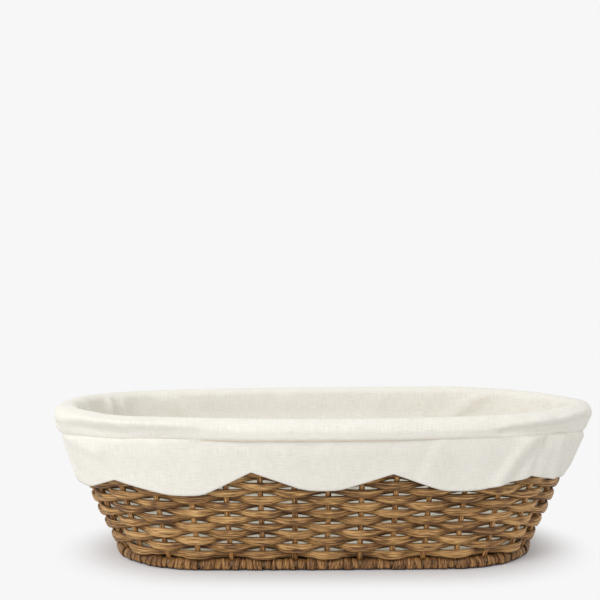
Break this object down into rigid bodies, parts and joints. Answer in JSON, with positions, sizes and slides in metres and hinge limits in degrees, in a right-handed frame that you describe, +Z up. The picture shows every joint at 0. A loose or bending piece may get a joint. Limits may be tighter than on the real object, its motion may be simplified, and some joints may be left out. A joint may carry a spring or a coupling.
{
  "type": "banneton basket",
  "caption": "Long oval woven rattan proving basket with a cloth liner rolled over the rim and a scalloped valance.",
  "frame": {"origin": "centre of the foot on the surface it stands on", "axes": "+X along the long side, +Z up, the front is the side towards -Y"},
  "size_m": [0.3358, 0.1676, 0.0932],
  "materials": {
    "rattan_cane": "dry natural cane, honey brown, long fibre lines",
    "stake_cane": "peeled cane, slightly redder than the weavers",
    "rattan_peel": "flat rattan peel, wound tight",
    "hoop_rod": "round cane rod",
    "linen": "undyed plain-weave linen with slubs",
    "elastic": "covered round elastic"
  },
  "bodies": {
    "basket": {"foot_hoop": "hoop_rod", "foot_binding": "rattan_peel", "floor_ribs": "stake_cane", "floor_strands": "rattan_cane", "stakes": "stake_cane", "weaver_row_01": "rattan_cane", "weaver_row_02": "rattan_cane", "weaver_row_03": "rattan_cane", "weaver_row_04": "rattan_cane", "weaver_row_05": "rattan_cane", "weaver_row_06": "rattan_cane", "weaver_row_07": "rattan_cane", "weaver_row_08": "rattan_cane", "weaver_row_09": "rattan_cane", "weaver_row_10": "rattan_cane", "weaver_row_11": "rattan_cane", "weaver_row_12": "rattan_cane", "weaver_row_13": "rattan_cane", "weaver_row_14": "rattan_cane", "weaver_row_15": "rattan_cane", "weaver_row_16": "rattan_cane", "weaver_row_17": "rattan_cane", "rim_hoop": "hoop_rod", "rim_binding": "rattan_peel"},
    "liner": {"liner_bottom": "linen", "liner_wall": "linen", "rim_fold": "linen", "seam_elastic": "elastic", "valance": "linen"}
  },
  "joints": [
    {"name": "liner_lift", "type": "slide", "parent": "basket", "child": "liner", "axis": [0, 0, 1], "range_m": [0, 0.11], "deforming": ["valance"]}
  ]
}
